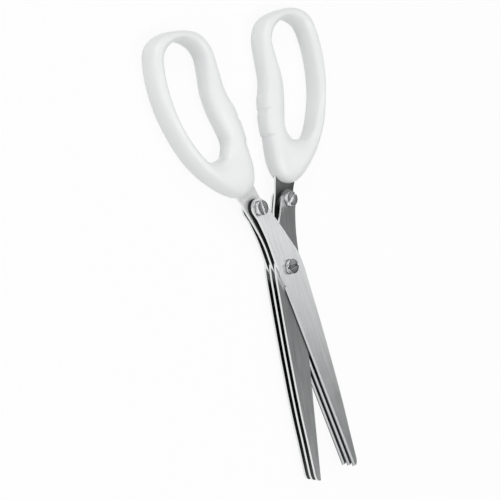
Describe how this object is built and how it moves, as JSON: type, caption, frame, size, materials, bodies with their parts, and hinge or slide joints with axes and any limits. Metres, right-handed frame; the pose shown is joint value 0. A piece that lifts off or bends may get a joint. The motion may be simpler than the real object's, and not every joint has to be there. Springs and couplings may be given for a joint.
{
  "type": "herb scissors",
  "caption": "Scissors with three pairs of parallel steel blades on one pivot, for cutting herbs into strips, with two looped plastic handles.",
  "frame": {"origin": "on the pivot's axis, on the plane that the scissors lie on, at the rear face of the pivot nut", "axes": "+Z along the pivot's axis towards the slotted screw heads, +Y from the pivot towards the handles, +X towards the right handle"},
  "size_m": [0.1018, 0.195, 0.0108],
  "materials": {
    "handle_plastic": "smooth white gloss",
    "blade_steel": "finely brushed along the blade",
    "screw_steel": "turned and lightly polished"
  },
  "bodies": {
    "left_arm": {"left_handle": "handle_plastic", "left_front_blade": "blade_steel", "left_tang_blade": "blade_steel", "left_rear_blade": "blade_steel", "left_arm_screw": "screw_steel", "left_arm_nut": "screw_steel", "left_arm_front_spacer": "screw_steel", "left_arm_rear_spacer": "screw_steel", "pivot_screw": "screw_steel", "pivot_nut": "screw_steel", "pivot_front_spacer": "screw_steel", "pivot_rear_spacer": "screw_steel"},
    "right_arm": {"right_handle": "handle_plastic", "right_front_blade": "blade_steel", "right_tang_blade": "blade_steel", "right_rear_blade": "blade_steel", "right_arm_screw": "screw_steel", "right_arm_nut": "screw_steel", "right_arm_front_spacer": "screw_steel", "right_arm_rear_spacer": "screw_steel"}
  },
  "joints": [
    {"name": "pivot_hinge", "type": "hinge", "parent": "left_arm", "child": "right_arm", "pos_m": [0, 0, 0.005], "axis": [0, 0, 1], "range_deg": [-46, 13.4]}
  ]
}
